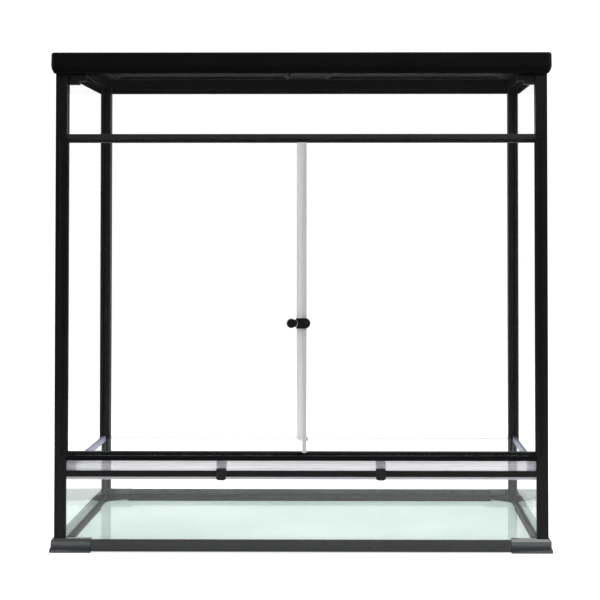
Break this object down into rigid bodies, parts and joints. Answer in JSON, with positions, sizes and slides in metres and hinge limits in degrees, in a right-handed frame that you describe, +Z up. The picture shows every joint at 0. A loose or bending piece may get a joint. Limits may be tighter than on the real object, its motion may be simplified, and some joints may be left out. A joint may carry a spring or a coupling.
{
  "type": "terrarium",
  "caption": "Front-opening glass terrarium on black corner posts, with a waterproof tray base, hinged glass doors with a turn latch, and a moulded top with mesh screens.",
  "frame": {"origin": "on the floor under the middle of the cabinet", "axes": "+Z up; -Y is the front, where the doors are; +X to the viewer's right when facing the doors"},
  "size_m": [0.9146, 0.457, 0.9082],
  "materials": {
    "base_moulding": "satin charcoal moulding",
    "glass": "clear, green at the edges",
    "silicone": "clear silicone",
    "clear_plastic": "clear extruded plastic",
    "frosted_plastic": "translucent grey",
    "black_extrusion": "satin black coating on aluminium",
    "black_moulding": "satin black moulding",
    "steel_mesh": "black coated woven steel"
  },
  "bodies": {
    "cabinet": {"back_glass": "glass", "base_rail_back": "base_moulding", "base_rail_front": "base_moulding", "base_rail_left": "base_moulding", "base_rail_right": "base_moulding", "corner_foot_back_left": "base_moulding", "corner_foot_back_right": "base_moulding", "corner_foot_front_left": "base_moulding", "corner_foot_front_right": "base_moulding", "corner_post_back_left": "black_extrusion", "corner_post_back_right": "black_extrusion", "corner_post_front_left": "black_extrusion", "corner_post_front_right": "black_extrusion", "door_header": "black_extrusion", "door_sill": "black_extrusion", "floor_glass": "glass", "front_joiner": "clear_plastic", "glass_joiner_back": "clear_plastic", "glass_joiner_left": "clear_plastic", "glass_joiner_right": "clear_plastic", "joiner_end_plug_left": "frosted_plastic", "joiner_end_plug_right": "frosted_plastic", "side_glass_left": "glass", "side_glass_right": "glass", "top_cover": "black_moulding", "transom_bracket_left": "black_moulding", "transom_bracket_right": "black_moulding", "transom_glass": "glass", "tray_glass_back": "glass", "tray_glass_front": "glass", "tray_glass_left": "glass", "tray_glass_right": "glass", "tray_silicone_seam": "silicone", "vent_bar": "black_extrusion", "vent_clip_left": "black_moulding", "vent_clip_right": "black_moulding"},
    "left_door": {"door_glass_left": "glass", "hinge_strip_left": "black_extrusion", "latch_base": "black_moulding"},
    "right_door": {"door_glass_right": "glass", "hinge_strip_right": "black_extrusion", "door_seal": "clear_plastic", "latch_keeper": "black_moulding", "latch_screw": "black_moulding"},
    "latch": {"latch_knob": "black_moulding"},
    "left_screen": {"screen_frame_left": "black_moulding", "screen_mesh_left": "steel_mesh"},
    "right_screen": {"screen_frame_right": "black_moulding", "screen_mesh_right": "steel_mesh"}
  },
  "joints": [
    {"name": "left_door_hinge", "type": "hinge", "parent": "cabinet", "child": "left_door", "pos_m": [-0.4364, -0.2171, 0.4622], "axis": [0, 0, -1], "range_deg": [0, 105]},
    {"name": "right_door_hinge", "type": "hinge", "parent": "cabinet", "child": "right_door", "pos_m": [0.4364, -0.2171, 0.4622], "axis": [0, 0, 1], "range_deg": [0, 105]},
    {"name": "latch_turn", "type": "hinge", "parent": "left_door", "child": "latch", "pos_m": [-0.0174, -0.222, 0.4147], "axis": [0, -1, 0], "range_deg": [0, 90]},
    {"name": "left_screen_lift", "type": "slide", "parent": "cabinet", "child": "left_screen", "axis": [0, 0, 1], "range_m": [0, 0.04]},
    {"name": "right_screen_lift", "type": "slide", "parent": "cabinet", "child": "right_screen", "axis": [0, 0, 1], "range_m": [0, 0.04]}
  ]
}
